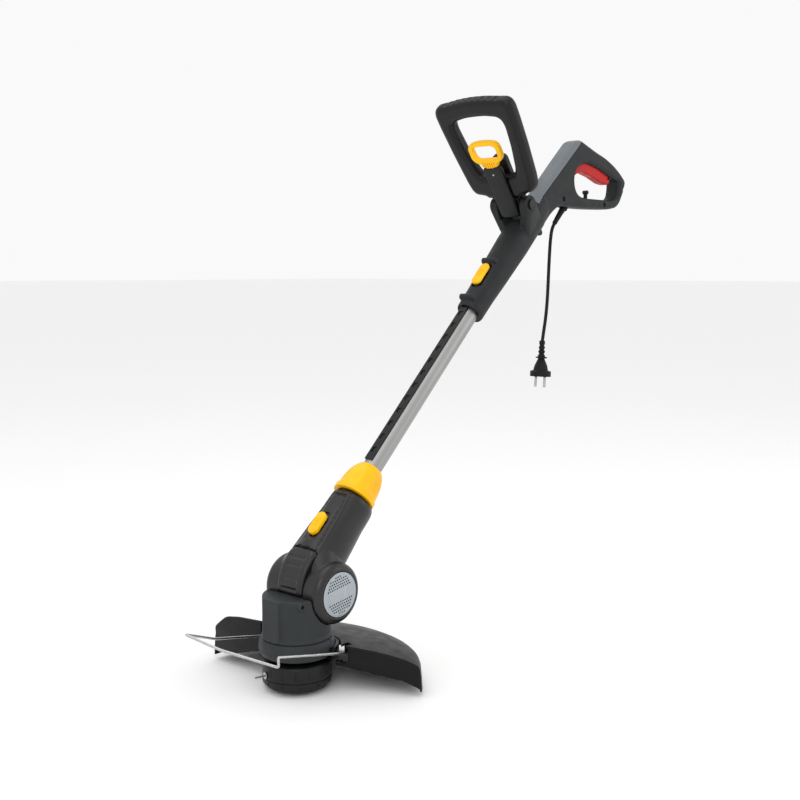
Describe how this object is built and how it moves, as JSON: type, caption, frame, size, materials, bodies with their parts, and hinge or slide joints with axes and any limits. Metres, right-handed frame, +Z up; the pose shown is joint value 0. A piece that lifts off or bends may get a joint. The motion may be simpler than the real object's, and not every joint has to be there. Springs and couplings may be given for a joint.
{
  "type": "string trimmer",
  "caption": "Corded string trimmer with telescopic tube, tilting and swivelling head, rear trigger grip, folding front loop handle, fan-shaped guard and wire plant guard.",
  "frame": {"origin": "middle of the rear grip bar's hand opening, on the centre plane", "axes": "+X from the cutting head to the user, +Y to the tool's right side, +Z up; the spool's knob is flat on the ground at rest"},
  "size_m": [0.9996, 0.3374, 0.8688],
  "materials": {
    "black_matte_plastic": "fine moulded texture",
    "black_rubber": "soft matte moulding",
    "copper_cast_iron": "laminated and wound core",
    "dark_matte_plastic": "fine moulded texture",
    "grey_matte_plastic": "fine moulded texture",
    "line_matte_plastic": "fine moulded texture",
    "red_matte_plastic": "fine moulded texture",
    "silver_aluminium": "drawn tube, satin",
    "silver_painted_metal": "satin silver coat",
    "steel_brushed_steel": "drawn or turned bare metal",
    "steel_chrome": "bright plated",
    "yellow_gloss_plastic": "smooth moulded plastic"
  },
  "bodies": {
    "handle": {"handle_shell_left": "dark_matte_plastic", "handle_shell_right": "dark_matte_plastic", "handle_top_cover": "grey_matte_plastic", "handle_screw_1": "steel_brushed_steel", "handle_screw_2": "steel_brushed_steel", "handle_screw_3": "steel_brushed_steel", "strain_relief": "black_rubber", "cord_hook": "black_matte_plastic", "mains_cord": "black_rubber", "plug_body": "black_rubber", "plug_pin_1": "steel_chrome", "plug_pin_2": "steel_chrome", "trigger_pin": "steel_brushed_steel", "power_switch": "black_matte_plastic", "trigger_spring": "steel_brushed_steel", "tube_guide_sleeve": "black_matte_plastic", "telescope_spring": "steel_brushed_steel", "pivot_bolt": "black_matte_plastic", "pivot_nut": "steel_brushed_steel"},
    "trigger": {"trigger": "red_matte_plastic"},
    "telescope_button": {"telescope_button": "yellow_gloss_plastic"},
    "aux_handle": {"aux_shell_front": "black_matte_plastic", "aux_shell_rear": "black_matte_plastic", "post_body": "dark_matte_plastic", "post_front_plate": "black_matte_plastic", "latch_spring": "steel_brushed_steel"},
    "pull_ring": {"pull_ring": "yellow_gloss_plastic"},
    "tube": {"tube": "silver_aluminium", "notched_strip": "black_matte_plastic", "core_cable": "black_rubber"},
    "twist_collar": {"twist_collar": "yellow_gloss_plastic"},
    "neck": {"neck_shell_left": "dark_matte_plastic", "neck_shell_right": "dark_matte_plastic", "tilt_axle": "steel_brushed_steel", "vent_disc_left": "silver_painted_metal", "vent_disc_right": "silver_painted_metal", "tilt_button_spring": "steel_brushed_steel"},
    "tilt_button": {"tilt_button": "yellow_gloss_plastic"},
    "head": {"motor_housing_left": "dark_matte_plastic", "motor_housing_right": "dark_matte_plastic", "knuckle_cover": "dark_matte_plastic", "flange_ring": "dark_matte_plastic", "motor_can": "steel_brushed_steel", "upper_bearing": "steel_brushed_steel", "lower_bearing": "steel_brushed_steel", "guard": "black_matte_plastic", "guard_screw_1": "steel_brushed_steel", "guard_screw_2": "steel_brushed_steel", "line_cutter": "steel_brushed_steel"},
    "wire_guard": {"wire_guard": "steel_brushed_steel"},
    "rotor": {"armature": "copper_cast_iron", "motor_shaft": "steel_brushed_steel", "cooling_fan": "black_matte_plastic", "spool_housing": "black_matte_plastic", "spool_cap": "black_matte_plastic", "line_spool": "black_matte_plastic", "line_eyelet": "steel_brushed_steel", "cutting_line": "line_matte_plastic", "bump_spring": "steel_brushed_steel"},
    "bump_knob": {"bump_knob": "dark_matte_plastic"}
  },
  "joints": [
    {"name": "trigger_pull", "type": "hinge", "parent": "handle", "child": "trigger", "pos_m": [0.039, 0, -0.024], "axis": [0, 1, 0], "range_deg": [0, 2.2], "stiffness_Nm_per_rad": 1.2, "springref_deg": -6.88, "deforming": ["trigger_spring"]},
    {"name": "telescope_release", "type": "slide", "parent": "handle", "child": "telescope_button", "axis": [0.6934, 0, -0.7206], "range_m": [0, 0.0025], "stiffness_N_per_m": 800, "springref_m": -0.002, "deforming": ["telescope_spring"]},
    {"name": "aux_handle_tilt", "type": "hinge", "parent": "handle", "child": "aux_handle", "pos_m": [-0.252, 0, -0.085], "axis": [0, 1, 0], "range_deg": [-50, 30]},
    {"name": "pull_ring_lift", "type": "slide", "parent": "aux_handle", "child": "pull_ring", "axis": [-0.5878, 0, 0.809], "range_m": [0, 0.008], "stiffness_N_per_m": 500, "springref_m": -0.004, "deforming": ["latch_spring"]},
    {"name": "tube_slide", "type": "slide", "parent": "handle", "child": "tube", "axis": [0.7206, 0, 0.6934], "range_m": [-0.1, 0.1]},
    {"name": "collar_twist", "type": "hinge", "parent": "tube", "child": "twist_collar", "pos_m": [-0.6269, 0, -0.51319], "axis": [0.7206, 0, 0.6934], "range_deg": [0, 60]},
    {"name": "neck_swivel", "type": "hinge", "parent": "tube", "child": "neck", "pos_m": [-0.67013, 0, -0.55479], "axis": [0.7206, 0, 0.6934], "range_deg": [0, 180]},
    {"name": "tilt_release", "type": "slide", "parent": "neck", "child": "tilt_button", "axis": [0.6934, 0, -0.7206], "range_m": [0, 0.002], "stiffness_N_per_m": 800, "springref_m": -0.002, "deforming": ["tilt_button_spring"]},
    {"name": "head_tilt", "type": "hinge", "parent": "neck", "child": "head", "pos_m": [-0.7288, 0, -0.6467], "axis": [0, 1, 0], "range_deg": [0, 45]},
    {"name": "wire_guard_swing", "type": "hinge", "parent": "head", "child": "wire_guard", "pos_m": [-0.709, 0, -0.735], "axis": [0, 1, 0], "range_deg": [-12, 22]},
    {"name": "rotor_spin", "type": "hinge", "parent": "head", "child": "rotor", "pos_m": [-0.76, 0, -0.755], "axis": [0, 0, 1], "continuous": true},
    {"name": "bump_feed", "type": "slide", "parent": "rotor", "child": "bump_knob", "axis": [0, 0, 1], "range_m": [0, 0.003], "stiffness_N_per_m": 600, "springref_m": -0.004, "deforming": ["bump_spring"]}
  ]
}
